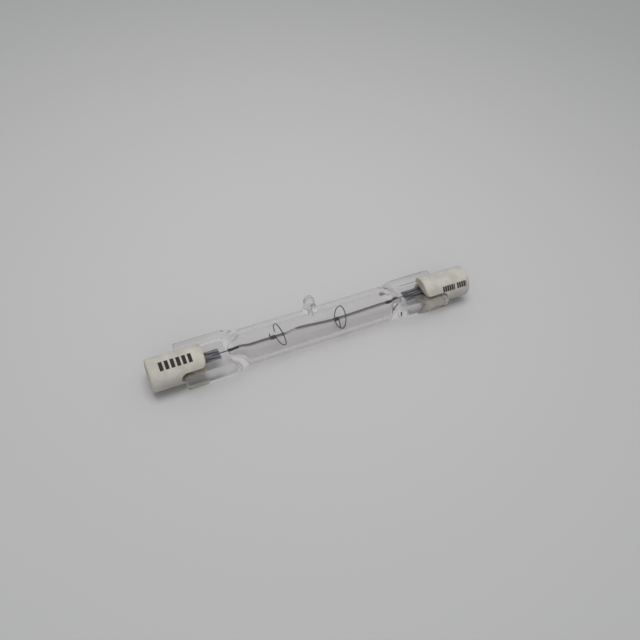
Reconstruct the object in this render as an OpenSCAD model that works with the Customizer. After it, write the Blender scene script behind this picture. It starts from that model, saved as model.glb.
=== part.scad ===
// Double-ended quartz halogen bulb with a recessed contact at each end.
// X runs along the bulb, the pinch seals lie flat in XY, and Z is up.
// The origin is on the surface that the tube lies on, under the middle of the bulb.

/* [Overall] */
// Length over the end faces of the two ceramic caps
lamp_length = 78.3; // [76:0.1:84]
// Depth of a contact's outer face in the mouth of its recess
contact_depth = 1.7; // [1.4:0.1:2.2]

/* [Quartz envelope] */
// Outside diameter of the tube
tube_d = 8.4; // [7.8:0.1:9.4]
// Wall of the tube
tube_wall = 1.05; // [0.9:0.05:1.2]
// Length of a pinch seal
pinch_length = 10.75; // [10:0.05:11.5]
// Length of the shoulder where the tube turns into the pinch seal
shoulder_length = 4.4; // [3.5:0.1:5]
// Solid quartz between the chamber's end and the full pinch
seal_root = 0.8; // [0.5:0.1:1.2]
// Width of the left pinch seal across its two rails
left_pinch_width = 12.6; // [11.2:0.1:13]
// Width of the right pinch seal across its two rails
right_pinch_width = 11.6; // [10.8:0.1:12.6]
// Thickness of the web that holds the foil
web_thickness = 1.9; // [1.6:0.05:2.1]
// Thickness of the rails along the two edges of a pinch seal
rail_thickness = 2.5; // [2.2:0.05:2.8]
// Width of one rail
rail_width = 1.7; // [1.4:0.1:2]
// Width of the slope from rail to web
rail_slope = 0.6; // [0.4:0.1:0.8]
// Width of the slit that the chamber closes to at a seal
slit_width = 3.4; // [3:0.1:3.8]
// Height of that slit
slit_height = 1.2; // [1:0.1:1.4]

/* [Exhaust tip] */
// Diameter of the sealed tip at its foot
tip_d = 3.8; // [2.8:0.1:4]
// Height of the tip over the tube
tip_height = 3.6; // [2.4:0.1:4.4]
// Bore of the tip, closed where it was melted off
tip_bore_d = 1.1; // [0.8:0.1:1.4]
// Place of the tip along the bulb, from its middle
tip_place = -1.3; // [-4:0.1:4]
// Lean of the tip away from upright, round the tube
tip_lean = 22; // [0:1:30]

/* [Ceramic caps] */
// Diameter of a ceramic cap
cap_d = 7.4; // [7:0.1:7.6]
// Length of a cap from its end face to the ends of its tongues
cap_length = 12; // [11:0.1:12.6]
// Depth of the slot that takes the pinch seal
slot_depth = 5.8; // [5.2:0.1:6.2]
// Thickness of the slot
slot_thickness = 3.2; // [3:0.05:3.5]
// Rounding of the outer end edge of a cap
cap_edge_r = 0.6; // [0.3:0.1:0.8]
// Rounding of the corners of the tongues
tongue_corner_r = 1.2; // [0.8:0.1:1.6]
// Diameter of the recess that hides the contact
recess_d = 4.2; // [3.8:0.1:4.6]
// Width of the bevel round the mouth of the recess
recess_bevel = 0.3; // [0.1:0.05:0.5]
// Distance of the cement from the edges of the tongues and from the rails
cement_inset = 0.4; // [0.2:0.1:0.6]

/* [Contacts] */
// Diameter of the contact's head
contact_d = 3.6; // [3.2:0.1:3.7]
// Thickness of the contact's head
contact_head = 0.9; // [0.6:0.1:1.2]
// Bevel round the contact's outer face
head_edge = 0.2; // [0.1:0.05:0.3]
// Diameter of the contact's shank in the cap
shank_d = 1.6; // [1.4:0.1:1.9]
// Length of the contact's shank
shank_length = 1.8; // [1.4:0.1:2]
// Depth of the hole in the shank that the lead ends in
lead_depth = 1.1; // [0.8:0.1:1.2]

/* [Leads and foils] */
// Diameter of the outer lead
outer_lead_d = 0.6; // [0.5:0.05:0.8]
// Straight length of the outer lead before and after its bend
lead_straight = 0.3; // [0.2:0.1:0.5]
// Diameter of the inner lead
inner_lead_d = 0.3; // [0.24:0.02:0.36]
// Width of a molybdenum foil
foil_width = 3; // [2.4:0.1:3.4]
// Thickness of a foil
foil_thickness = 0.05; // [0.04:0.01:0.1]
// Length of the seal that a foil leaves free, both ends together
foil_cover = 3.35; // [3:0.05:3.8]
// Distance of the left foil from the chamber
left_foil_inset = 1.9; // [1.4:0.1:2.2]
// Distance of the right foil from the chamber
right_foil_inset = 1.2; // [1:0.1:2.2]
// Length of each lead that lies welded on its foil
weld_length = 1.8; // [1.4:0.1:2.2]

/* [Filament] */
// Outside diameter of the filament's coil
coil_d = 0.8; // [0.7:0.05:0.9]
// Diameter of the filament's wire
coil_wire = 0.16; // [0.12:0.02:0.18]
// Pitch of the filament's close turns
coil_pitch = 0.45; // [0.4:0.05:0.6]
// Pitch of the turns where the filament is stretched
loose_pitch = 0.9; // [0.6:0.1:1.2]
// Left end of the stretched turns, as a share of half the chamber
loose_from_share = 0.37; // [0.34:0.01:0.4]
// Right end of the stretched turns, as a share of half the chamber
loose_to_share = 0.25; // [0.22:0.01:0.28]
// Rise of the filament over the leads at the left support
left_rise = 0.2; // [0:0.05:0.4]
// Rise of the filament over the leads after the stretched turns
loose_rise = 0.5; // [0.2:0.05:0.6]
// Drop of the filament under the leads at the right support
right_drop = 0.35; // [0.1:0.05:0.5]

/* [Leg sleeves] */
// Outside diameter of the sleeve on a filament leg
sleeve_d = 0.8; // [0.7:0.05:0.9]
// Length of a sleeve
sleeve_length = 2.7; // [2.4:0.1:2.8]
// Number of turns that a sleeve is wound in
sleeve_turns = 9; // [6:1:12]
// Reach of the left sleeve into the chamber
left_sleeve_reach = 2.9; // [2.8:0.1:3.4]
// Reach of the right sleeve into the chamber
right_sleeve_reach = 3.6; // [3:0.1:4]

/* [Filament supports] */
// Diameter of the support wire
support_wire = 0.26; // [0.2:0.02:0.3]
// Play of a support's ring in the bore of the tube
ring_play = 0.85; // [0.6:0.05:1.2]
// Number of turns gripped round the filament
knot_turns = 5; // [3:1:7]
// Place of the left support's knot, as a share of half the chamber
left_knot_share = 0.51; // [0.49:0.01:0.53]
// Place of the right support's knot, as a share of half the chamber
right_knot_share = 0.225; // [0.2:0.005:0.25]
// Distance from the left knot's end to the middle of its ring
left_arm_reach = 1; // [0.6:0.1:1.4]
// Distance from the right knot's end to the middle of its ring
right_arm_reach = 0.2; // [0.1:0.1:0.6]
// Turn of the left ring along the bulb, seen from above
left_ring_turn = -12; // [-20:1:0]
// Lean of the left ring along the bulb, seen from the side
left_ring_lean = -6; // [-15:1:0]
// Lean of the right ring along the bulb, seen from the side
right_ring_lean = 14; // [5:1:20]
// Place round the bore that the left ring is pushed against
left_ring_side = 40; // [0:5:90]
// Part of a full turn that the left ring makes
left_ring_sweep = 250; // [220:5:300]
// Part of a full turn that the right ring makes
right_ring_sweep = 375; // [330:5:400]
// Length of the free end that stands off the left knot
spur_length = 0.9; // [0.4:0.1:1.2]

/* [Fits] */
// Gap between a contact, shank, lead or ring and what it lies in
hole_gap = 0.05; // [0.02:0.01:0.1]
// Gap between the quartz and the bottom of the slot
slot_gap = 0.8; // [0.7:0.05:1]
// Gap between two wires that lie on each other
wire_gap = 0.02; // [0.01:0.01:0.05]

/* [Hidden] */

// Sides of the quartz sections, with a flat one at the bottom for the tube to lie on
quartz_sides = 48;
// Steps of the quartz along one shoulder
shoulder_steps = 9;
// Steps of the tip from its foot to its neck
tip_steps = 5;
// Radius of the tip's neck as a share of its foot's diameter
neck_share = 0.34;
// Height of the neck and of the tip's bore, as shares of the tip's height
neck_height = 0.5;
bore_height = 0.55;
// Steps in one turn of the filament's coil and in one turn of a support's wire
coil_steps = 6;
ring_steps = 24;
// Steps of a support's arm
arm_steps = 8;
// Turn round the filament where a knot begins, where it ends, and where the arm meets the ring
spur_angle = 50;
arm_angle = -102;
ring_angle = -142;
// How far a cut runs past what it cuts
cut_over = 1;
// Half width of the crevice beside a weld, as a share of the lead's diameter
crevice = 0.42;
// Height of the tube's axis over the surface
axis_z = tube_d / 2 * cos(180 / quartz_sides);

cap_face = lamp_length / 2;
contact_face = cap_face - contact_depth;
head_floor = contact_face - contact_head;
shank_end = head_floor - shank_length;
tongue_end = cap_face - cap_length;
slot_end = tongue_end + slot_depth;
pinch_end = slot_end - slot_gap;
pinch_start = pinch_end - pinch_length;
tube_end = pinch_start - shoulder_length;
seal_start = pinch_start + seal_root;
bore_d = tube_d - 2 * tube_wall;
foil_length = pinch_length - foil_cover;
left_sleeve_start = pinch_start - left_sleeve_reach;
right_sleeve_start = pinch_start - right_sleeve_reach;
loose_from = -pinch_start * loose_from_share;
loose_to = -pinch_start * loose_to_share;
left_knot = -pinch_start * left_knot_share;
right_knot = pinch_start * right_knot_share;
// Height of both leads over the foils that they are welded to
outer_lead_z = (foil_thickness + outer_lead_d) / 2;
inner_lead_z = (foil_thickness + inner_lead_d) / 2;
// The filament's axis sits on the inner leads
filament_z = inner_lead_z;
// Distance of the coil's wire from its own axis
coil_r = (coil_d - coil_wire) / 2;
knot_r = (coil_d + support_wire) / 2 + wire_gap;
ring_r = (bore_d - ring_play - support_wire) / 2;

ceramic_colour = [0.90, 0.87, 0.79];
cement_colour = [0.80, 0.74, 0.60];
quartz_colour = [0.80, 0.84, 0.86, 0.35];
nickel_colour = [0.72, 0.70, 0.66];
molybdenum_colour = [0.48, 0.48, 0.50];
tungsten_colour = [0.33, 0.33, 0.35];
sleeve_colour = [0.09, 0.09, 0.10];

function unit(v) = v / norm(v);
function mix(a, b, share) = a + (b - a) * share;
// Eased share of the way from one value to another
function eased(value, from, to) =
    let (share = min(1, max(0, (value - from) / (to - from))))
    share * share * (3 - 2 * share);

// Half thickness of a pinch seal at a distance from its edge
function pinch_half(from_edge) =
    let (rail_r = rail_thickness / 2)
    from_edge < rail_r ? sqrt(rail_r * rail_r - pow(rail_r - from_edge, 2))
    : mix(rail_r, web_thickness / 2, eased(from_edge, rail_width, rail_width + rail_slope));

// One section of the quartz, round where press is 0 and pinched flat where it is 1
function quartz_ring(x, press) = [for (i = [0:quartz_sides - 1])
    let (
        angle = 360 * (i + 0.5) / quartz_sides,
        side = sin(angle) < 0 ? -1 : 1,
        half_width = (x < 0 ? left_pinch_width : right_pinch_width) / 2,
        y = half_width * cos(angle),
        z = side * pinch_half(half_width - abs(y))
    )
    [x, mix(tube_d / 2 * cos(angle), y, press), mix(tube_d / 2 * sin(angle), z, press)]];

// One section of the chamber, which closes to a narrow slit where the seal begins
function chamber_ring(x, press) = [for (i = [0:quartz_sides - 1])
    let (angle = 360 * (i + 0.5) / quartz_sides)
    [x, mix(bore_d, slit_width, press) / 2 * cos(angle),
        mix(bore_d, slit_height, press) / 2 * sin(angle)]];

// A closed skin over sections that follow each other along X, with strips over each end
module skin(rings) {
    sides = len(rings[0]);
    last = (len(rings) - 1) * sides;
    polyhedron(
        points = [for (ring = rings) each ring],
        faces = [
            for (i = [0:sides / 2 - 2])
                let (j = sides - 1 - i)
                each [[i, i + 1, j - 1], [i, j - 1, j],
                    [last + j - 1, last + i + 1, last + i], [last + j, last + j - 1, last + i]],
            for (k = [0:len(rings) - 2], i = [0:sides - 1])
                let (a = k * sides + i, b = k * sides + (i + 1) % sides)
                each [[a, a + sides, b + sides], [a, b + sides, b]]
        ]
    );
}

// A round wire along a path, with a frame that is carried along without twist
module wire(path, d, sides) {
    last = len(path) - 1;
    tangents = [for (i = [0:last]) unit(path[min(i + 1, last)] - path[max(i - 1, 0)])];
    first = unit(cross(tangents[0], [0.31, 0.52, 0.79]));
    normals = [for (i = 0, n = first; i <= last;
        n = i < last ? unit(n - (n * tangents[i + 1]) * tangents[i + 1]) : n, i = i + 1) n];
    skin([for (i = [0:last])
        let (binormal = cross(tangents[i], normals[i]))
        [for (k = [0:sides - 1])
            path[i] + d / 2 * (cos(360 * k / sides) * normals[i] + sin(360 * k / sides) * binormal)]]);
}

module along_x(x) {
    translate([x, 0, 0]) rotate([0, 90, 0]) children();
}

// Puts a part that is drawn at the right end at either end
module at_end(side) {
    if (side > 0) children();
    else rotate([0, 0, 180]) children();
}

// Lifts the bulb from its own axis to the surface that it lies on
module lying() {
    translate([0, 0, axis_z]) children();
}

module quartz_blank() {
    shoulder = [for (k = [0:shoulder_steps]) k / shoulder_steps];
    end_x = [for (share = shoulder) mix(tube_end, seal_start, share)];
    press = [for (share = shoulder) eased(share, 0, 1)];
    skin([
        quartz_ring(-pinch_end, 1),
        for (k = [shoulder_steps:-1:0]) quartz_ring(-end_x[k], press[k]),
        for (k = [0:shoulder_steps]) quartz_ring(end_x[k], press[k]),
        quartz_ring(pinch_end, 1)
    ]);
}

module chamber() {
    shoulder = [for (k = [0:shoulder_steps]) k / shoulder_steps];
    end_x = [for (share = shoulder) mix(tube_end, pinch_start, share)];
    press = [for (share = shoulder) eased(share, 0, 1)];
    skin([
        for (k = [shoulder_steps:-1:0]) chamber_ring(-end_x[k], press[k]),
        for (k = [0:shoulder_steps]) chamber_ring(end_x[k], press[k])
    ]);
}

// Outline of the tip from its foot inside the wall to its rounded end
function tip_outline(foot_d, end_z) = let (
    foot_z = bore_d / 2 + tube_wall / 2,
    neck_r = foot_d * neck_share,
    neck_z = tube_d / 2 + tip_height * neck_height,
    round_z = end_z - neck_r
) [
    [0, foot_z],
    for (k = [0:tip_steps])
        [mix(foot_d / 2, neck_r, eased(k, 0, tip_steps)), mix(foot_z, neck_z, k / tip_steps)],
    for (angle = [0:18:90]) [neck_r * cos(angle), round_z + neck_r * sin(angle)]
];

module exhaust_tip() {
    translate([tip_place, 0, 0]) rotate([-tip_lean, 0, 0]) rotate_extrude($fn = 28)
        polygon(tip_outline(tip_d, tube_d / 2 + tip_height));
}

module tip_bore() {
    bore_top = tube_d / 2 + tip_height * bore_height;
    translate([tip_place, 0, 0]) rotate([-tip_lean, 0, 0]) {
        cylinder(h = bore_top, d1 = tip_bore_d, d2 = tip_bore_d / 3, $fn = 20);
    }
}

// The quartz flows round the foil and the ends of both leads, and leaves a crevice beside each weld
module pocket(side) {
    weld_to = foil_start(side) + weld_length;
    weld_from = foil_end(side) - weld_length;
    foil_body(side);
    inner_lead_body(side);
    at_end(side) {
        translate([0, 0, outer_lead_z]) along_x(weld_from)
            cylinder(h = pinch_end - weld_from + cut_over, d = outer_lead_d, $fn = 24);
        translate([pinch_start - cut_over, -inner_lead_d * crevice, 0])
            cube([weld_to - pinch_start + cut_over, inner_lead_d * crevice * 2, inner_lead_z]);
        translate([weld_from, -outer_lead_d * crevice, 0])
            cube([pinch_end - weld_from + cut_over, outer_lead_d * crevice * 2, outer_lead_z]);
    }
}

module quartz_envelope() {
    color(quartz_colour) lying() difference() {
        union() {
            quartz_blank();
            exhaust_tip();
        }
        chamber();
        tip_bore();
        pocket(-1);
        pocket(1);
    }
}

// A cap turned as one profile: the recess, the contact's seat at its floor, and the lead's hole
module cap_body() {
    bevel_r = recess_d / 2 + recess_bevel;
    edge = cap_d / 2 - cap_edge_r;
    hole_r = shank_d / 2 + hole_gap;
    seat_r = contact_d / 2 + hole_gap;
    along_x(0) rotate_extrude($fn = 96) polygon([
        [hole_r, tongue_end],
        [cap_d / 2, tongue_end],
        for (angle = [0:15:90])
            [edge + cap_edge_r * cos(angle), cap_face - cap_edge_r + cap_edge_r * sin(angle)],
        [bevel_r, cap_face],
        [recess_d / 2, cap_face - recess_bevel],
        [recess_d / 2, contact_face],
        [seat_r, contact_face],
        [seat_r, head_floor],
        [hole_r, head_floor]
    ]);
}

module slot() {
    slot_round = slot_thickness / 2;
    width = cap_d + 2 * cut_over;
    translate([tongue_end - cut_over, -width / 2, -slot_round])
        cube([slot_end - slot_round - tongue_end + cut_over, width, slot_thickness]);
    translate([slot_end - slot_round, 0, 0]) rotate([90, 0, 0])
        cylinder(h = width, r = slot_round, center = true, $fn = 48);
}

// What is ground off the two corners of each tongue
module tongue_corners() {
    tall = cap_d + 2 * cut_over;
    half_width = sqrt(cap_d * cap_d - slot_thickness * slot_thickness) / 2;
    for (side = [-1, 1]) translate([tongue_end, side * half_width, 0]) difference() {
        translate([-cut_over, side > 0 ? -tongue_corner_r : -cut_over, -tall / 2])
            cube([cut_over + tongue_corner_r, cut_over + tongue_corner_r, tall]);
        translate([tongue_corner_r, -side * tongue_corner_r, 0])
            cylinder(h = tall + 2 * cut_over, r = tongue_corner_r, center = true, $fn = 48);
    }
}

module ceramic_cap(side) {
    color(ceramic_colour) lying() at_end(side) difference() {
        cap_body();
        slot();
        tongue_corners();
    }
}

// The cement beds the web between the two tongues, as one pad on each face
module cement(side) {
    half_tongue = sqrt(cap_d * cap_d - slot_thickness * slot_thickness) / 2;
    half_web = right_pinch_width / 2 - rail_width - rail_slope;
    pad_width = 2 * (min(half_tongue, half_web) - cement_inset);
    pad_height = (slot_thickness - web_thickness) / 2;
    pad_length = slot_depth - slot_thickness / 2 - cement_inset;
    color(cement_colour) lying() at_end(side) for (face = [-1, 1])
        translate([tongue_end + cement_inset, -pad_width / 2,
            face > 0 ? web_thickness / 2 : -slot_thickness / 2])
            cube([pad_length, pad_width, pad_height]);
}

// A turned button with a shank that the outer lead ends in
module contact(side) {
    lead_hole_r = outer_lead_d / 2 + hole_gap;
    lead_hole_end = shank_end + lead_depth;
    color(nickel_colour) lying() at_end(side) along_x(0) rotate_extrude($fn = 64) polygon([
        [0, lead_hole_end],
        [lead_hole_r, lead_hole_end],
        [lead_hole_r, shank_end],
        [shank_d / 2, shank_end],
        [shank_d / 2, head_floor],
        [contact_d / 2, head_floor],
        [contact_d / 2, contact_face - head_edge],
        [contact_d / 2 - head_edge, contact_face],
        [0, contact_face]
    ]);
}

function foil_start(side) = pinch_start + (side > 0 ? right_foil_inset : left_foil_inset);
function foil_end(side) = foil_start(side) + foil_length;
function sleeve_start(side) = side > 0 ? right_sleeve_start : left_sleeve_start;

module foil_body(side) {
    at_end(side) translate([foil_start(side), -foil_width / 2, -foil_thickness / 2])
        cube([foil_length, foil_width, foil_thickness]);
}

// The outer lead is welded on the foil, leaves the quartz and steps down to the axis of the cap
module outer_lead_body(side) {
    weld_end = foil_end(side) - weld_length;
    lead_end = shank_end + lead_depth - hole_gap;
    bend_from = pinch_end + lead_straight;
    bend_to = shank_end - lead_straight;
    at_end(side) wire([
        [weld_end, 0, outer_lead_z],
        [bend_from, 0, outer_lead_z],
        for (share = [0.25, 0.5, 0.75])
            [mix(bend_from, bend_to, share), 0, mix(outer_lead_z, 0, eased(share, 0, 1))],
        [bend_to, 0, 0],
        [lead_end, 0, 0]
    ], outer_lead_d, 12);
}

// The inner lead is welded on the foil and ends where the filament's coil begins
module inner_lead_body(side) {
    lead_start = sleeve_start(side) - wire_gap;
    lead_length = foil_start(side) + weld_length - lead_start;
    at_end(side) translate([0, 0, inner_lead_z]) along_x(lead_start)
        cylinder(h = lead_length, d = inner_lead_d, $fn = 24);
}

module foil(side) {
    color(molybdenum_colour) lying() foil_body(side);
}

module outer_lead(side) {
    color(molybdenum_colour) lying() outer_lead_body(side);
}

module inner_lead(side) {
    color(tungsten_colour) lying() inner_lead_body(side);
}

// A sleeve wound close round the leg, drawn as one turned body with a round for each turn
module leg_sleeve(side) {
    turn = sleeve_length / sleeve_turns;
    start = sleeve_start(side);
    color(sleeve_colour) lying() at_end(side) translate([0, 0, filament_z]) along_x(start)
        rotate_extrude($fn = 24) polygon([
            [inner_lead_d / 2 + wire_gap, 0],
            for (k = [0:sleeve_turns - 1], angle = [0:45:180])
                [sleeve_d / 2 - turn / 2 + turn / 2 * sin(angle), turn * (k + (1 - cos(angle)) / 2)],
            [inner_lead_d / 2 + wire_gap, sleeve_length]
        ]);
}

// Height of the filament's axis over the leads
function rise(x) =
    x < left_knot ? mix(0, left_rise, eased(x, -left_sleeve_start, left_knot))
    : x < loose_to ? mix(left_rise, loose_rise, eased(x, loose_from, loose_to))
    : x < right_knot ? mix(loose_rise, -right_drop, eased(x, loose_to, right_knot))
    : mix(-right_drop, 0, eased(x, right_knot, right_sleeve_start));

// The turns of one stretch of the coil as points of x and turn angle
function stretch(from, to, pitch, turn_from) =
    let (count = round((to - from) / pitch * coil_steps))
    [for (k = [0:count - 1]) [mix(from, to, k / count), turn_from + 360 * k / coil_steps]];

module filament() {
    start = -left_sleeve_start + coil_wire / 2 + wire_gap;
    end = right_sleeve_start - coil_wire / 2 - wire_gap;
    left_turns = stretch(start, loose_from, coil_pitch, 0);
    loose_turns = stretch(loose_from, loose_to, loose_pitch, 360 / coil_steps * len(left_turns));
    right_turns = stretch(loose_to, end, coil_pitch,
        360 / coil_steps * (len(left_turns) + len(loose_turns)));
    turns = concat(left_turns, loose_turns, right_turns);
    color(tungsten_colour) lying() translate([0, 0, filament_z]) wire([for (p = turns)
        [p[0], coil_r * cos(p[1]), coil_r * sin(p[1]) + rise(p[0])]], coil_wire, 4);
}

// Close turns round the filament, then an arm that opens into a ring inside the tube
module filament_support(knot, spur, reach, turn, lean, push, sweep) {
    grip = support_wire + wire_gap;
    half_turn = ring_steps / 2;
    centre_z = filament_z + rise(knot);
    ring_y = push * cos(left_ring_side);
    ring_z = push * sin(left_ring_side);
    knot_sweep = arm_angle - 360 * (knot_turns - 1) - spur_angle;
    knot_steps = ceil(-knot_sweep / 360 * half_turn);
    knot_length = -knot_sweep / 360 * grip;
    spur_path = [for (k = [spur > 0 ? 2 : 0:-1:1])
        let (r = knot_r + spur * k / 2, angle = spur_angle + 15 * k)
        [-knot_length / 2 - grip * k / 4, r * cos(angle), centre_z + r * sin(angle)]];
    knot_path = [for (k = [0:knot_steps])
        let (share = k / knot_steps, angle = spur_angle + knot_sweep * share)
        [knot_length * (share - 0.5), knot_r * cos(angle), centre_z + knot_r * sin(angle)]];
    arm_path = [for (k = [1:arm_steps])
        let (
            share = k / arm_steps,
            angle = mix(arm_angle, ring_angle, share),
            r = mix(knot_r, ring_r, eased(share, 0, 1)),
            shift = share * share * r * (cos(angle) * tan(turn) + sin(angle) * tan(lean))
        )
        [knot_length / 2 + reach * share + shift,
            r * cos(angle) + ring_y * share, r * sin(angle) + mix(centre_z, ring_z, share)]];
    ring_path = [for (k = [1:floor(sweep / 360 * ring_steps)])
        let (
            angle = ring_angle - 360 * k / ring_steps,
            shift = ring_r * (cos(angle) * tan(turn) + sin(angle) * tan(lean))
        )
        [knot_length / 2 + reach + grip * k / ring_steps + shift,
            ring_r * cos(angle) + ring_y, ring_r * sin(angle) + ring_z]];
    color(molybdenum_colour) lying() translate([knot, 0, 0])
        wire(concat(spur_path, knot_path, arm_path, ring_path), support_wire, 6);
}

module left_support() {
    filament_support(left_knot, spur_length, left_arm_reach, left_ring_turn, left_ring_lean,
        ring_play / 2 - hole_gap, left_ring_sweep);
}

module right_support() {
    filament_support(right_knot, 0, right_arm_reach, 0, right_ring_lean, 0, right_ring_sweep);
}

quartz_envelope();
ceramic_cap(-1);  // ceramic_cap_left
ceramic_cap(1);  // ceramic_cap_right
cement(-1);  // cement_left
cement(1);  // cement_right
contact(-1);  // contact_left
contact(1);  // contact_right
outer_lead(-1);  // outer_lead_left
outer_lead(1);  // outer_lead_right
foil(-1);  // foil_left
foil(1);  // foil_right
inner_lead(-1);  // inner_lead_left
inner_lead(1);  // inner_lead_right
leg_sleeve(-1);  // leg_sleeve_left
leg_sleeve(1);  // leg_sleeve_right
filament();
left_support();  // filament_support_left
right_support();  // filament_support_right
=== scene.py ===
import math

import bpy
from mathutils import Matrix, Vector


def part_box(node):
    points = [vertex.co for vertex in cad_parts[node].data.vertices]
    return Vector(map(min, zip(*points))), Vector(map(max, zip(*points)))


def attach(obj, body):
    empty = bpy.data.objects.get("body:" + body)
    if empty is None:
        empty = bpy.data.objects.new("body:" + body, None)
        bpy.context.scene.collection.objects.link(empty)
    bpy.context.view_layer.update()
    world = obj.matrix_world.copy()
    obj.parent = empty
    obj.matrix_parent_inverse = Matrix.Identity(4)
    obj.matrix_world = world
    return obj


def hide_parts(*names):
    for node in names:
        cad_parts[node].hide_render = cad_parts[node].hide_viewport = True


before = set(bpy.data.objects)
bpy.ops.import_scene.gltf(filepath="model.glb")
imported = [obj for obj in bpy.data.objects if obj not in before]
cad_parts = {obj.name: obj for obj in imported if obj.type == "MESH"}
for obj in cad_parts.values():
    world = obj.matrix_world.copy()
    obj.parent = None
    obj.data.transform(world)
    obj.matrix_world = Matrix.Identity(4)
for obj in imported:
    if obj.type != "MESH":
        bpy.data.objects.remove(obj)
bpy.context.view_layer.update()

# The surface and the light: a plain pale table under a soft lamp straight above and a weaker one before the
# left end, in a pale room. The table's colour is painted lighter just behind the bulb and darker toward its
# edges: a painted pool of light.
MM = 0.001
table_size = 3.0
painted_pool_middle_tone = (0.452, 0.450, 0.455, 1)
painted_pool_outside_tone = (0.355, 0.358, 0.360, 1)
painted_pool_reach = 0.20
painted_pool_place = (0.015, 0.036, 0)
room_tone = (0.56, 0.56, 0.56, 1)
lamps = {"softbox": {"place": (-0.02, 0.0, 0.42), "width": 0.22, "energy": 1.00},
         "window": {"place": (-0.22, -0.42, 0.26), "width": 0.50, "energy": 0.40}}
most_bounces = 32


def new_finish(name):
    finish = bpy.data.materials.new(name)
    finish.use_nodes = True
    return finish, finish.node_tree, finish.node_tree.nodes["Principled BSDF"]


def add_node(tree, kind, *sources, **settings):
    """A new node with its settings, whose first inputs are linked to the sockets or set to the values."""
    node = tree.nodes.new(kind)
    for key, value in settings.items():
        setattr(node, key, value)
    for place, source in enumerate(sources):
        if isinstance(source, bpy.types.NodeSocket):
            tree.links.new(source, node.inputs[place])
        elif source is not None:
            node.inputs[place].default_value = source
    return node


def reckoned(tree, operation, *sources):
    """The result of a Math node."""
    return add_node(tree, "ShaderNodeMath", *sources, operation=operation).outputs[0]


def faded(tree, value, low, high):
    """The eased share of the way that a value has come from low to high."""
    node = add_node(tree, "ShaderNodeMapRange", value, low, high, 0.0, 1.0, interpolation_type="SMOOTHSTEP")
    return node.outputs["Result"]


def between(tree, tones, share):
    """The mix of two colours by a share."""
    node = add_node(tree, "ShaderNodeMix", data_type="RGBA")
    tree.links.new(share, node.inputs["Factor"])
    for name, tone in zip("AB", tones):
        socket = [one for one in node.inputs if one.name == name and one.type == "RGBA"][0]
        if isinstance(tone, bpy.types.NodeSocket):
            tree.links.new(tone, socket)
        else:
            socket.default_value = tone
    return [one for one in node.outputs if one.type == "RGBA"][0]


bpy.ops.object.select_all(action="DESELECT")
bpy.ops.mesh.primitive_plane_add(size=table_size, location=(0, 0, 0))
table = bpy.context.object
table.name = "table"
table_finish, tree, shader = new_finish("table_with_painted_light_pool")
# Painted pool of light: the table's colour is lighter round one place and darker farther out.
place = add_node(tree, "ShaderNodeTexCoord").outputs["Object"]
from_bright = add_node(tree, "ShaderNodeVectorMath", place, painted_pool_place, operation="SUBTRACT")
far = add_node(tree, "ShaderNodeVectorMath", from_bright.outputs["Vector"], operation="LENGTH")
painted_pool_share = faded(tree, far.outputs["Value"], 0.0, painted_pool_reach)
tree.links.new(between(tree, (painted_pool_middle_tone, painted_pool_outside_tone), painted_pool_share),
               shader.inputs["Base Color"])
shader.inputs["Roughness"].default_value = 0.8
table.data.materials.append(table_finish)

room = bpy.data.worlds.new("room")
bpy.context.scene.world = room
room.use_nodes = True
room_background = room.node_tree.nodes["Background"]
room_background.inputs["Color"].default_value = room_tone
room_background.inputs["Strength"].default_value = 1

for name, lamp_facts in lamps.items():
    lamp_data = bpy.data.lights.new(name, "AREA")
    lamp_data.shape = "SQUARE"
    lamp_data.size = lamp_facts["width"]
    lamp_data.energy = lamp_facts["energy"]
    lamp = bpy.data.objects.new(name, lamp_data)
    lamp.location = lamp_facts["place"]
    lamp.rotation_euler = (-lamp.location).to_track_quat("-Z", "Y").to_euler()
    lamp.visible_transmission = False
    lamp.visible_glossy = False
    bpy.context.collection.objects.link(lamp)
bpy.context.scene.view_settings.view_transform = "Standard"
bpy.context.scene.cycles.max_bounces = most_bounces
bpy.context.scene.cycles.transmission_bounces = most_bounces

# The camera stands before the bulb's left end and looks down on it, as the photographer did. The pinch
# seals lie level here and were tilted a little in the photograph, so the camera carries that tilt.
look_azimuth = math.radians(-28.44)
look_elevation = math.radians(49.22)
look_roll = math.radians(5.23)
look_distance = 155.9 * MM
focal_px = 681.5
frame_px = 640
sensor_mm = 36
aim = Vector((0, 0, 4.19)) * MM
aim_px = (316.97, 324.5)

camera_data = bpy.data.cameras.new("camera")
camera_data.sensor_width = sensor_mm
camera_data.lens = focal_px / frame_px * sensor_mm
camera_data.clip_start = 0.01
camera = bpy.data.objects.new("camera", camera_data)
bpy.context.collection.objects.link(camera)
bpy.context.scene.camera = camera
back = Vector((math.sin(look_azimuth) * math.cos(look_elevation),
               -math.cos(look_azimuth) * math.cos(look_elevation), math.sin(look_elevation)))
level_right = Vector((math.cos(look_azimuth), math.sin(look_azimuth), 0))
right = level_right * math.cos(look_roll) + back.cross(level_right) * math.sin(look_roll)
up = back.cross(right)
aside = (aim_px[0] - frame_px / 2) / focal_px * look_distance
below = (aim_px[1] - frame_px / 2) / focal_px * look_distance
eye = aim + back * look_distance - right * aside + up * below
camera.matrix_world = Matrix(((right.x, up.x, back.x, eye.x), (right.y, up.y, back.y, eye.y),
                              (right.z, up.z, back.z, eye.z), (0, 0, 0, 1)))

# Foils: a thin molybdenum ribbon in each pinch seal, which carries the current through the quartz. The
# quartz gripped it while it was soft, so the foil is rippled along its length.
axis_z = 4.191 * MM
foil_half_width = 1.5 * MM
foil_ripple = 0.05 * MM
foil_dark = (0.035, 0.035, 0.042, 1)
foil_light = (0.20, 0.20, 0.22, 1)
foil_streaks = (300, 2600, 300)


def eased(value, start, end):
    """The eased share of the way that a value has come from start to end."""
    share = min(1, max(0, (value - start) / (end - start)))
    return share * share * (3 - 2 * share)


def mix(start, end, share):
    return start + (end - start) * share


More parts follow.
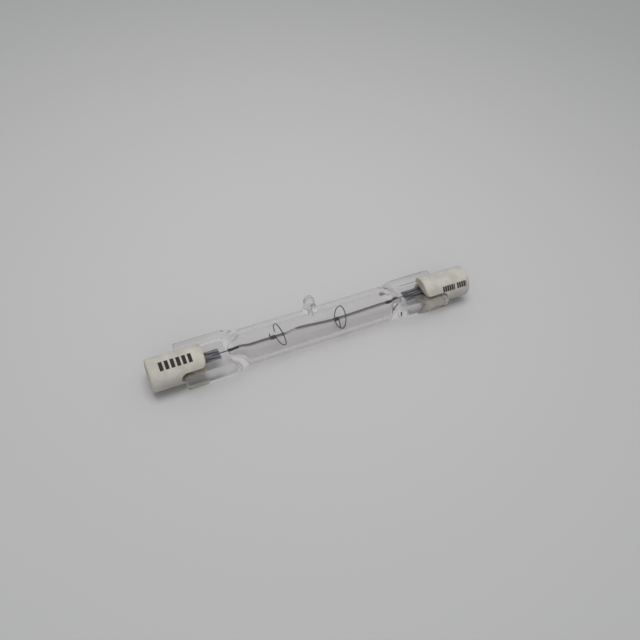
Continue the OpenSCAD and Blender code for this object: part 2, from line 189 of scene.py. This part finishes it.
foil_finish, tree, shader = new_finish("foil_metal")
place = add_node(tree, "ShaderNodeTexCoord").outputs["Object"]
streaks = add_node(tree, "ShaderNodeMapping", place)
streaks.inputs["Scale"].default_value = foil_streaks
grain = add_node(tree, "ShaderNodeTexNoise", streaks.outputs["Vector"])
grain.inputs["Scale"].default_value = 1
grain.inputs["Detail"].default_value = 3
tree.links.new(between(tree, (foil_dark, foil_light), faded(tree, grain.outputs["Fac"], 0.40, 0.62)),
               shader.inputs["Base Color"])
shader.inputs["Metallic"].default_value = 0.4
shader.inputs["Roughness"].default_value = 0.45
for side in ("left", "right"):
    node_name = "foil_" + side
    low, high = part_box(node_name)
    bpy.ops.object.select_all(action="DESELECT")
    bpy.ops.mesh.primitive_grid_add(x_subdivisions=44, y_subdivisions=48, size=1)
    foil = bpy.context.object
    foil.name = "rippled_" + node_name
    for vertex in foil.data.vertices:
        along, across = vertex.co.x, vertex.co.y
        wander = 2.2 * math.sin(along * 9)
        strength = 0.5 + 0.5 * math.sin(along * 17 + across * 6)
        vertex.co = ((low.x + high.x) / 2 + along * (high.x - low.x), across * 2 * foil_half_width,
                     axis_z + foil_ripple * math.sin(across * 31 + wander) * strength)
    bpy.ops.object.shade_smooth()
    foil.data.materials.append(foil_finish)
    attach(foil, "root")
    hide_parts(node_name)

# Inner leads: the legs of the filament, straight lengths of drawn tungsten wire. Each is welded on the inner
# end of its foil and runs into the chamber.


def grained_finish(name, dark, light, grain_scale, roughness, metallic=0):
    """A finish whose tone wanders between two colours in a fine grain."""
    finish, tree, shader = new_finish(name)
    place = add_node(tree, "ShaderNodeTexCoord").outputs["Object"]
    grain = add_node(tree, "ShaderNodeTexNoise", place)
    grain.inputs["Scale"].default_value = grain_scale
    tree.links.new(between(tree, (dark, light), grain.outputs["Fac"]), shader.inputs["Base Color"])
    shader.inputs["Metallic"].default_value = metallic
    shader.inputs["Roughness"].default_value = roughness
    return finish, tree, shader


def dress(node_name, finish):
    """Give a carried-over node its finish in place of the plain one."""
    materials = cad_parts[node_name].data.materials
    materials.clear()
    materials.append(finish)


tungsten_finish = grained_finish("drawn_tungsten", (0.05, 0.05, 0.055, 1), (0.13, 0.13, 0.14, 1),
                                 grain_scale=900, roughness=0.42, metallic=0.6)[0]
for side in ("left", "right"):
    dress("inner_lead_" + side, tungsten_finish)

# Leg sleeves: a short sleeve of fine wire wound close round each leg, where the filament's coil begins. Its
# colour is nearly black.
sleeve_finish, tree, shader = grained_finish("dark_sleeve_wire", (0.003, 0.003, 0.003, 1),
                                             (0.012, 0.012, 0.013, 1), grain_scale=1500, roughness=0.6)
shader.inputs["Specular IOR Level"].default_value = 0.15
for side in ("left", "right"):
    dress("leg_sleeve_" + side, sleeve_finish)

# Filament: tungsten wire wound in a fine coil from leg to leg. It was pulled open beside the left support,
# and between its two supports it rises and then sinks a little.
coil_wire_r = 0.14 * MM
coil_r = 0.24 * MM
coil_turns = 78
turn_steps = 14
filament_z = axis_z + 0.175 * MM
left_leg, right_leg = -18.40 * MM, 17.70 * MM
loose_from, loose_to = -7.92 * MM, -5.35 * MM
left_knot, right_knot = -10.914 * MM, 4.815 * MM
turns_to_loose, turns_to_close = 23.4, 26.3
rise_at_left_knot = 0.1 * MM
rise_past_loose = 0.6 * MM
rise_at_right_knot = -0.35 * MM
coil_dark = (0.070, 0.070, 0.074, 1)
coil_light = (0.150, 0.150, 0.156, 1)
painted_glint_tone = (0.28, 0.28, 0.28, 1)
painted_glint_edge = 0.2 * MM


def filament_rise(x):
    """How high the filament stands over its legs at a place along the bulb."""
    if x < left_knot:
        return mix(0, rise_at_left_knot, eased(x, left_leg, left_knot))
    if x < loose_to:
        return mix(rise_at_left_knot, rise_past_loose, eased(x, loose_from, loose_to))
    if x < right_knot:
        return mix(rise_past_loose, rise_at_right_knot, eased(x, loose_to, right_knot))
    return mix(rise_at_right_knot, 0, eased(x, right_knot, right_leg))


bpy.ops.object.select_all(action="DESELECT")
bpy.ops.mesh.primitive_circle_add(vertices=8, radius=coil_wire_r, location=(0, coil_r, 0))
filament = bpy.context.object
filament.name = "coiled_filament"
bpy.ops.object.transform_apply(location=True)
winding = filament.modifiers.new("winding", "SCREW")
winding.axis = "X"
winding.angle = 2 * math.pi
winding.screw_offset = 1
winding.iterations = coil_turns
winding.steps = winding.render_steps = turn_steps
bpy.ops.object.modifier_apply(modifier="winding")
# The screw moves on by one metre a turn, so that a point's X tells its turn. It then goes to its true place.
for vertex in filament.data.vertices:
    turn = round(vertex.co.x * turn_steps) / turn_steps
    from_wire_middle = vertex.co.x - turn
    x = mix(left_leg, loose_from, min(1, turn / turns_to_loose))
    x += (loose_to - loose_from) * min(1, max(0, (turn - turns_to_loose) / (turns_to_close - turns_to_loose)))
    x += (right_leg - loose_to) * min(1, max(0, (turn - turns_to_close) / (coil_turns - turns_to_close)))
    vertex.co = (x + from_wire_middle, vertex.co.y, vertex.co.z + filament_z + filament_rise(x))
bpy.ops.object.mode_set(mode="EDIT")
bpy.ops.mesh.select_all(action="SELECT")
bpy.ops.mesh.fill_holes(sides=0)
bpy.ops.mesh.select_all(action="SELECT")
bpy.ops.mesh.normals_make_consistent(inside=False)
bpy.ops.object.mode_set(mode="OBJECT")
bpy.ops.object.shade_smooth()

coil_finish, tree, shader = new_finish("coil_tungsten")
place = add_node(tree, "ShaderNodeTexCoord").outputs["Object"]
grain = add_node(tree, "ShaderNodeTexNoise", place)
grain.inputs["Scale"].default_value = 700
tone = between(tree, (coil_dark, coil_light), grain.outputs["Fac"])
# Painted glint: the opened stretch of the coil is coloured lighter than the rest of the wire.
x = add_node(tree, "ShaderNodeSeparateXYZ", place).outputs["X"]
painted_glint_share = reckoned(tree, "MULTIPLY", faded(tree, x, loose_from - painted_glint_edge, loose_from + painted_glint_edge),
                 faded(tree, x, loose_to + painted_glint_edge, loose_to - painted_glint_edge))
tree.links.new(between(tree, (tone, painted_glint_tone), painted_glint_share), shader.inputs["Base Color"])
shader.inputs["Metallic"].default_value = 0.5
shader.inputs["Roughness"].default_value = 0.4
filament.data.materials.append(coil_finish)
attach(filament, "root")
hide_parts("filament")

# Filament supports: molybdenum wire wound in a knot round the filament. It leads down from there to a ring
# that stands in the tube and holds the filament on its axis.
support_wire_r = 0.12 * MM
knot_r = 0.36 * MM
grip = 0.28 * MM
whole_knot_turns = 4
spur_angle, arm_angle, ring_angle = 50, -102, -142
knot_sweep = arm_angle - 360 * whole_knot_turns - spur_angle
knot_length = -knot_sweep / 360 * grip
knot_steps = 120
arm_steps = 16
ring_step = 5
support_ring_r = 2.595 * MM


def around(angle, radius):
    return radius * math.cos(math.radians(angle)), radius * math.sin(math.radians(angle))


def only_object(piece):
    bpy.ops.object.select_all(action="DESELECT")
    piece.select_set(True)
    bpy.context.view_layer.objects.active = piece


def wound_support(name, knot, spur, reach, turn, lean, ring_y, ring_z, sweep):
    """One support's wire as a mesh: its spur, the knot at a place along the bulb, the arm and the ring, whose
    plane is turned and leaned by angles and whose middle stands aside of the axis."""
    across, upward = math.tan(math.radians(turn)), math.tan(math.radians(lean))
    knot_z = filament_z + filament_rise(knot)
    knot_end = knot + knot_length / 2
    path = []
    for k in (4, 3, 2, 1) if spur else ():
        y, z = around(spur_angle + 8 * k, knot_r + spur * k / 4)
        path.append((knot - knot_length / 2 - grip * k / 8, y, knot_z + z))
    for k in range(knot_steps + 1):
        y, z = around(spur_angle + knot_sweep * k / knot_steps, knot_r)
        path.append((knot + knot_length * (k / knot_steps - 0.5), y, knot_z + z))
    for k in range(1, arm_steps + 1):
        share = k / arm_steps
        y, z = around(mix(arm_angle, ring_angle, share), mix(knot_r, support_ring_r, eased(share, 0, 1)))
        path.append((knot_end + reach * share + share ** 2 * (y * across + z * upward),
                     y + ring_y * share, z + mix(knot_z, axis_z + ring_z, share)))
    for k in range(1, int(sweep / ring_step) + 1):
        y, z = around(ring_angle - ring_step * k, support_ring_r)
        path.append((knot_end + reach + grip * ring_step * k / 360 + y * across + z * upward,
                     y + ring_y, z + axis_z + ring_z))
    curve = bpy.data.curves.new(name, "CURVE")
    curve.dimensions = "3D"
    curve.bevel_depth = support_wire_r
    curve.bevel_resolution = 2
    curve.use_fill_caps = True
    spline = curve.splines.new("POLY")
    spline.points.add(len(path) - 1)
    for point, place in zip(spline.points, path):
        point.co = (*place, 1)
    support = bpy.data.objects.new("wire_" + name, curve)
    bpy.context.collection.objects.link(support)
    only_object(support)
    bpy.ops.object.convert(target="MESH")
    support = bpy.context.object
    bpy.ops.object.mode_set(mode="EDIT")
    bpy.ops.mesh.select_all(action="SELECT")
    bpy.ops.mesh.remove_doubles(threshold=0.001 * MM)
    bpy.ops.object.mode_set(mode="OBJECT")
    bpy.ops.object.shade_smooth_by_angle(angle=math.radians(50))
    return support


support_finish = grained_finish("support_molybdenum", (0.015, 0.015, 0.017, 1), (0.045, 0.045, 0.048, 1),
                                grain_scale=800, roughness=0.4, metallic=0.6)[0]
supports = (wound_support("filament_support_left", left_knot, spur=0.9 * MM, reach=1.0 * MM, turn=-12,
                          lean=-6, ring_y=0.287 * MM, ring_z=0.241 * MM, sweep=250),
            wound_support("filament_support_right", right_knot, spur=0, reach=0.2 * MM, turn=0,
                          lean=14, ring_y=0, ring_z=0, sweep=375))
for side, support in zip(("left", "right"), supports):
    support.data.materials.clear()
    support.data.materials.append(support_finish)
    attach(support, "root")
    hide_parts("filament_support_" + side)

# Quartz envelope: one clear fused quartz tube. Both ends were pressed flat by jaws, which left a thin web
# between two rails, and the exhaust pipe on its side was melted off to a rounded tip.
tube_r = 4.2 * MM
bore_r = 3.15 * MM
chamber_end = 21.4 * MM
chamber_round = 1.2 * MM
seal_start = 22.2 * MM
tube_end = 17.0 * MM
pinch_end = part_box("quartz_envelope")[1].x
left_half_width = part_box("quartz_envelope")[1].y
right_half_width = 5.8 * MM
end_round = 0.30 * MM
end_inset = 0.26 * MM
rail_r = 1.25 * MM
rail_width = 1.7 * MM
rail_slope = 0.6 * MM
web_half = 0.95 * MM
slit_half_width = 1.7 * MM
slit_half_height = 0.6 * MM
quartz_sides = 96
tip_place = -1.3 * MM
tip_lean = math.radians(22)
tip_sides = 40
tip_foot_r = 1.9 * MM
tip_neck_r = 1.29 * MM
tip_foot_z = (bore_r + tube_r) / 2
tip_flare_from, tip_flare_to = tube_r - 0.4 * MM, tube_r + 1.8 * MM
tip_top = tube_r + 3.6 * MM
tip_bore_r = 0.55 * MM
tip_bore_foot = bore_r * 0.8
tip_bore_top = tube_r + 2.0 * MM
quartz_face_on_tone = (0.965, 0.958, 0.958, 1)
quartz_painted_edge_shade = (0.30, 0.28, 0.28, 1)
painted_edge_shade_power = 3
quartz_shade = (0.94, 0.935, 0.935, 1)
quartz_ior = 1.458
caught_depth = 3.5


def drawn_tube(name, radius, stations):
    """A round tube drawn out along the bulb's axis through the stations, closed at both ends."""
    bpy.ops.object.select_all(action="DESELECT")
    bpy.ops.mesh.primitive_circle_add(vertices=quartz_sides, radius=radius, fill_type="NGON")
    piece = bpy.context.object
    piece.name = name
    bpy.ops.object.mode_set(mode="EDIT")
    bpy.ops.mesh.select_all(action="SELECT")
    bpy.ops.transform.rotate(value=math.pi / 2, orient_axis="Y", center_override=(0, 0, 0))
    bpy.ops.transform.translate(value=(stations[0], 0, axis_z))
    for near, far in zip(stations, stations[1:]):
        bpy.ops.mesh.extrude_region_move(TRANSFORM_OT_translate={"value": (far - near, 0, 0)})
    bpy.ops.object.mode_set(mode="OBJECT")
    return piece


def both_ways(half):
    """The stations of one half and of its mirror image."""
    return [-x for x in reversed(half)] + half


def round_off(distance, length):
    """The share by which a rounded end has drawn in at a distance along its length."""
    return 1 - math.sqrt(max(0, 1 - (max(0, distance) / length) ** 2))


def rail_height(from_edge):
    """Half the thickness of a pinch seal at a distance from its edge: a round rail and then the web."""
    if from_edge < rail_r:
        return math.sqrt(max(0, rail_r ** 2 - (rail_r - from_edge) ** 2))
    return mix(rail_r, web_half, eased(from_edge, rail_width, rail_width + rail_slope))


def drawn_in(value, amount):
    """A value brought nearer to the middle by an amount, and never past it."""
    return value - math.copysign(min(amount, abs(value)), value)


def lean_and_place():
    """Lean all that is selected in edit mode as the tip leans, and set it on the tube."""
    bpy.ops.mesh.select_all(action="SELECT")
    bpy.ops.transform.rotate(value=tip_lean, orient_axis="X", center_override=(0, 0, 0))
    bpy.ops.transform.translate(value=(tip_place, 0, axis_z))


straight = [tube_end * k / 8 for k in range(1, 8)]
shoulder = [mix(tube_end, seal_start, k / 24) for k in range(25)]
pinch = [mix(seal_start, pinch_end, k / 6) for k in range(1, 6)]
pinch_edge = [pinch_end - end_round * share for share in (1, 0.4, 0.1, 0)]
quartz = drawn_tube("quartz_bulb", tube_r, both_ways(straight + shoulder + pinch + pinch_edge))
for vertex in quartz.data.vertices:
    x, y, z = vertex.co
    y, z = y / tube_r, (z - axis_z) / tube_r
    press = eased(abs(x), tube_end, seal_start)
    inset = end_inset * round_off(abs(x) - pinch_end + end_round, end_round)
    half_width = left_half_width if x < 0 else right_half_width
    flat_y = y * half_width
    flat_z = math.copysign(rail_height(half_width - abs(flat_y)), z)
    vertex.co = (x, mix(y * tube_r, drawn_in(flat_y, inset), press),
                 axis_z + mix(z * tube_r, drawn_in(flat_z, inset), press))

bpy.ops.object.select_all(action="DESELECT")
bpy.ops.mesh.primitive_circle_add(vertices=tip_sides, radius=tip_foot_r, fill_type="NGON")
tip = bpy.context.object
bpy.ops.object.mode_set(mode="EDIT")
bpy.ops.mesh.select_all(action="SELECT")
bpy.ops.transform.translate(value=(0, 0, tip_foot_z))
tip_rings = [(mix(tip_foot_r, tip_neck_r, eased(k, 0, 9)), mix(tip_flare_from, tip_flare_to, k / 9))
             for k in range(10)]
for angle in (0, 15, 30, 45, 60, 72, 82):
    out, over = around(angle, tip_neck_r)
    tip_rings.append((out, tip_top - tip_neck_r + over))
last_r, last_z = tip_foot_r, tip_foot_z
for next_r, next_z in tip_rings:
    bpy.ops.mesh.extrude_region_move(TRANSFORM_OT_translate={"value": (0, 0, next_z - last_z)})
    bpy.ops.transform.resize(value=(next_r / last_r, next_r / last_r, 1))
    last_r, last_z = next_r, next_z
lean_and_place()
bpy.ops.object.mode_set(mode="OBJECT")

chamber = drawn_tube("chamber", bore_r, both_ways(
    straight + [mix(tube_end, chamber_end, k / 20) for k in range(21)]))
for vertex in chamber.data.vertices:
    x, y, z = vertex.co
    y, z = y / bore_r, (z - axis_z) / bore_r
    press = eased(abs(x), tube_end, chamber_end)
    dome = 1 - round_off(abs(x) - chamber_end + chamber_round, chamber_round + 0.01 * MM)
    vertex.co = (x, y * mix(bore_r, slit_half_width, press) * dome,
                 axis_z + z * mix(bore_r, slit_half_height, press) * dome)
bpy.ops.object.select_all(action="DESELECT")
bpy.ops.mesh.primitive_cone_add(vertices=32, radius1=tip_bore_r, radius2=tip_bore_r / 3,
                                depth=tip_bore_top - tip_bore_foot,
                                location=(0, 0, (tip_bore_top + tip_bore_foot) / 2))
tip_bore = bpy.context.object
bpy.ops.object.mode_set(mode="EDIT")
lean_and_place()
bpy.ops.object.mode_set(mode="OBJECT")
for skin, addition in ((quartz, tip), (chamber, tip_bore)):
    only_object(skin)
    weld = skin.modifiers.new("weld", "BOOLEAN")
    weld.operation = "UNION"
    weld.solver = "EXACT"
    weld.object = addition
    bpy.ops.object.modifier_apply(modifier="weld")
    bpy.data.objects.remove(addition)
for skin in (quartz, chamber):
    only_object(skin)
    bpy.ops.object.mode_set(mode="EDIT")
    bpy.ops.mesh.select_all(action="SELECT")
    bpy.ops.mesh.remove_doubles(threshold=0.001 * MM)
    bpy.ops.mesh.normals_make_consistent(inside=skin is chamber)
    bpy.ops.object.mode_set(mode="OBJECT")
chamber.select_set(True)
quartz.select_set(True)
bpy.context.view_layer.objects.active = quartz
bpy.ops.object.join()
bpy.ops.object.shade_smooth_by_angle(angle=math.radians(40))

# The quartz's colour is painted darker where it is seen edge on: a painted shade. Light that falls through it
# goes straight on, so that it keeps only a faint shadow, and so does light that is caught between its faces,
# which would stay black.
quartz_finish, tree, shader = new_finish("clear_quartz")
# Painted shade: the glass colour darkens where the surface is seen edge on.
edge_on = add_node(tree, "ShaderNodeLayerWeight")
painted_edge_shade_share = reckoned(tree, "POWER", edge_on.outputs["Facing"], painted_edge_shade_power)
tree.links.new(between(tree, (quartz_face_on_tone, quartz_painted_edge_shade), painted_edge_shade_share), shader.inputs["Base Color"])
shader.inputs["Transmission Weight"].default_value = 1
shader.inputs["Roughness"].default_value = 0.0
shader.inputs["IOR"].default_value = quartz_ior
ray = add_node(tree, "ShaderNodeLightPath")
caught = reckoned(tree, "GREATER_THAN", ray.outputs["Ray Depth"], caught_depth)
goes_on = reckoned(tree, "MAXIMUM", ray.outputs["Is Shadow Ray"], ray.outputs["Is Diffuse Ray"])
goes_on = reckoned(tree, "MAXIMUM", goes_on, caught)
let_through = add_node(tree, "ShaderNodeBsdfTransparent", quartz_shade)
by_ray = add_node(tree, "ShaderNodeMixShader", goes_on, shader.outputs["BSDF"], let_through.outputs["BSDF"])
tree.links.new(by_ray.outputs["Shader"], tree.nodes["Material Output"].inputs["Surface"])
quartz.data.materials.clear()
quartz.data.materials.append(quartz_finish)
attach(quartz, "root")
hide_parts("quartz_envelope")

# Outer leads: a length of molybdenum wire at each end, welded on the foil's outer end. It leaves the quartz
# at the end of the pinch seal and runs through the cap to the contact.
outer_lead_finish = grained_finish("lead_molybdenum", (0.08, 0.08, 0.085, 1), (0.16, 0.16, 0.165, 1),
                                   grain_scale=800, roughness=0.4, metallic=0.6)[0]
for side in ("left", "right"):
    dress("outer_lead_" + side, outer_lead_finish)

# Cement: a pale brown mineral paste that beds the pinch seal between the tongues of each cap. It set with
# a rough skin and rounded edges.
pad_height = 0.65 * MM
pad_rounding = 0.08 * MM
cement_dark = (0.24, 0.21, 0.15, 1)
cement_light = (0.42, 0.39, 0.32, 1)

cement_finish, tree, shader = new_finish("fired_cement")
place = add_node(tree, "ShaderNodeTexCoord").outputs["Object"]
grain = add_node(tree, "ShaderNodeTexNoise", place)
grain.inputs["Scale"].default_value = 1400
grain.inputs["Detail"].default_value = 4
tree.links.new(between(tree, (cement_dark, cement_light), faded(tree, grain.outputs["Fac"], 0.35, 0.65)),
               shader.inputs["Base Color"])
shader.inputs["Roughness"].default_value = 0.9
bump = add_node(tree, "ShaderNodeBump")
bump.inputs["Strength"].default_value = 0.6
bump.inputs["Distance"].default_value = 0.05 * MM
tree.links.new(grain.outputs["Fac"], bump.inputs["Height"])
tree.links.new(bump.outputs["Normal"], shader.inputs["Normal"])
for side in ("left", "right"):
    low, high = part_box("cement_" + side)
    for layer, pad_z in (("_under", low.z + pad_height / 2), ("_over", high.z - pad_height / 2)):
        bpy.ops.object.select_all(action="DESELECT")
        bpy.ops.mesh.primitive_cube_add(size=1)
        pad = bpy.context.object
        pad.name = "cement_pad_" + side + layer
        bpy.ops.object.mode_set(mode="EDIT")
        bpy.ops.mesh.subdivide(number_cuts=7)
        bpy.ops.object.mode_set(mode="OBJECT")
        for vertex in pad.data.vertices:
            u, v, w = vertex.co * 2
            lump = 1 + 0.05 * math.sin(7 * v + 3 * w) + 0.04 * math.sin(11 * v - 5 * u)
            vertex.co = ((low.x + high.x) / 2 + u * lump * (high.x - low.x) / 2 * (1 - 0.04 * v ** 4),
                         v * (high.y - low.y) / 2 * (1 - 0.05 * u ** 4), pad_z + w * pad_height / 2)
        rounding = pad.modifiers.new("rounding", "BEVEL")
        rounding.width = pad_rounding
        rounding.segments = 2
        rounding.limit_method = "ANGLE"
        bpy.ops.object.modifier_apply(modifier="rounding")
        bpy.ops.object.shade_smooth_by_angle(angle=math.radians(50))
        pad.data.materials.append(cement_finish)
        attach(pad, "root")
        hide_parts("cement_" + side)

# Ceramic caps: turned, unglazed cream ceramic with a slot for the pinch seal. Each carries a row of plain
# black printed bars, and the ceramic is a little mottled and browned where the cement meets it.
ceramic_light = (0.450, 0.436, 0.392, 1)
ceramic_dark = (0.375, 0.360, 0.318, 1)
ceramic_brown = (0.300, 0.250, 0.170, 1)
most_brown = 0.45
brown_from, brown_to = 29.0 * MM, 27.6 * MM
brown_wander = 1.6 * MM
print_black = (0.020, 0.019, 0.018, 1)
print_edge = 0.02 * MM
bar_edge = 0.05 * MM
row_edge = 1
bar_rows = {
    "left": {"middle_angle": 73, "half_angle": 16, "pitch": 1.25 * MM, "black": 0.66,
             "groups": ((-36.75 * MM, -29.25 * MM),)},
    "right": {"middle_angle": 37.5, "half_angle": 11, "pitch": 0.60 * MM, "black": 0.82,
              "groups": ((31.6 * MM, 34.9 * MM), (35.5 * MM, 38.1 * MM))}}


def printed_group(tree, x, start, end, pitch, black):
    """The mask of one group of bars along the cap, from its start to its end."""
    in_pitch = reckoned(tree, "FLOORED_MODULO", reckoned(tree, "SUBTRACT", x, start), pitch)
    bar = faded(tree, in_pitch, pitch * black + bar_edge, pitch * black - bar_edge)
    past = faded(tree, x, start - print_edge, start + print_edge)
    before = faded(tree, x, end + print_edge, end - print_edge)
    return reckoned(tree, "MULTIPLY", reckoned(tree, "MULTIPLY", past, before), bar)


for side, row in bar_rows.items():
    cap_finish, tree, shader = new_finish("printed_ceramic_" + side)
    place = add_node(tree, "ShaderNodeTexCoord").outputs["Object"]
    mottling = add_node(tree, "ShaderNodeTexNoise", place)
    mottling.inputs["Scale"].default_value = 420
    mottling.inputs["Detail"].default_value = 5
    tone = between(tree, (ceramic_dark, ceramic_light), faded(tree, mottling.outputs["Fac"], 0.3, 0.7))
    x, y, z = add_node(tree, "ShaderNodeSeparateXYZ", place).outputs
    from_middle = reckoned(tree, "ABSOLUTE", x)
    rough_x = reckoned(tree, "MULTIPLY_ADD", mottling.outputs["Fac"], brown_wander, from_middle)
    browned = reckoned(tree, "MULTIPLY", faded(tree, rough_x, brown_from, brown_to), most_brown)
    tone = between(tree, (tone, ceramic_brown), browned)
    height = reckoned(tree, "SUBTRACT", z, axis_z)
    front = reckoned(tree, "MULTIPLY", y, -1.0)
    angle = reckoned(tree, "ARCTAN2", height, front)
    off_angle = reckoned(tree, "SUBTRACT", angle, math.radians(row["middle_angle"]))
    off_angle = reckoned(tree, "ABSOLUTE", off_angle)
    inked = faded(tree, off_angle, math.radians(row["half_angle"] + row_edge),
                  math.radians(row["half_angle"] - row_edge))
    groups = [printed_group(tree, x, start, end, row["pitch"], row["black"]) for start, end in row["groups"]]
    bars = groups[0]
    for group in groups[1:]:
        bars = reckoned(tree, "MAXIMUM", bars, group)
    inked = reckoned(tree, "MULTIPLY", bars, inked)
    tree.links.new(between(tree, (tone, print_black), inked), shader.inputs["Base Color"])
    shader.inputs["Roughness"].default_value = 0.75
    bump = add_node(tree, "ShaderNodeBump")
    bump.inputs["Strength"].default_value = 0.25
    bump.inputs["Distance"].default_value = 0.03 * MM
    tree.links.new(mottling.outputs["Fac"], bump.inputs["Height"])
    tree.links.new(bump.outputs["Normal"], shader.inputs["Normal"])
    dress("ceramic_cap_" + side, cap_finish)

# Contacts: a turned nickel button at the floor of each cap's recess. The outer lead is fixed to its back, and
# the holder's plunger presses on its face.
contact_finish = grained_finish("turned_nickel", (0.50, 0.47, 0.42, 1), (0.66, 0.63, 0.57, 1),
                                grain_scale=1200, roughness=0.34, metallic=1)[0]
for side in ("left", "right"):
    dress("contact_" + side, contact_finish)
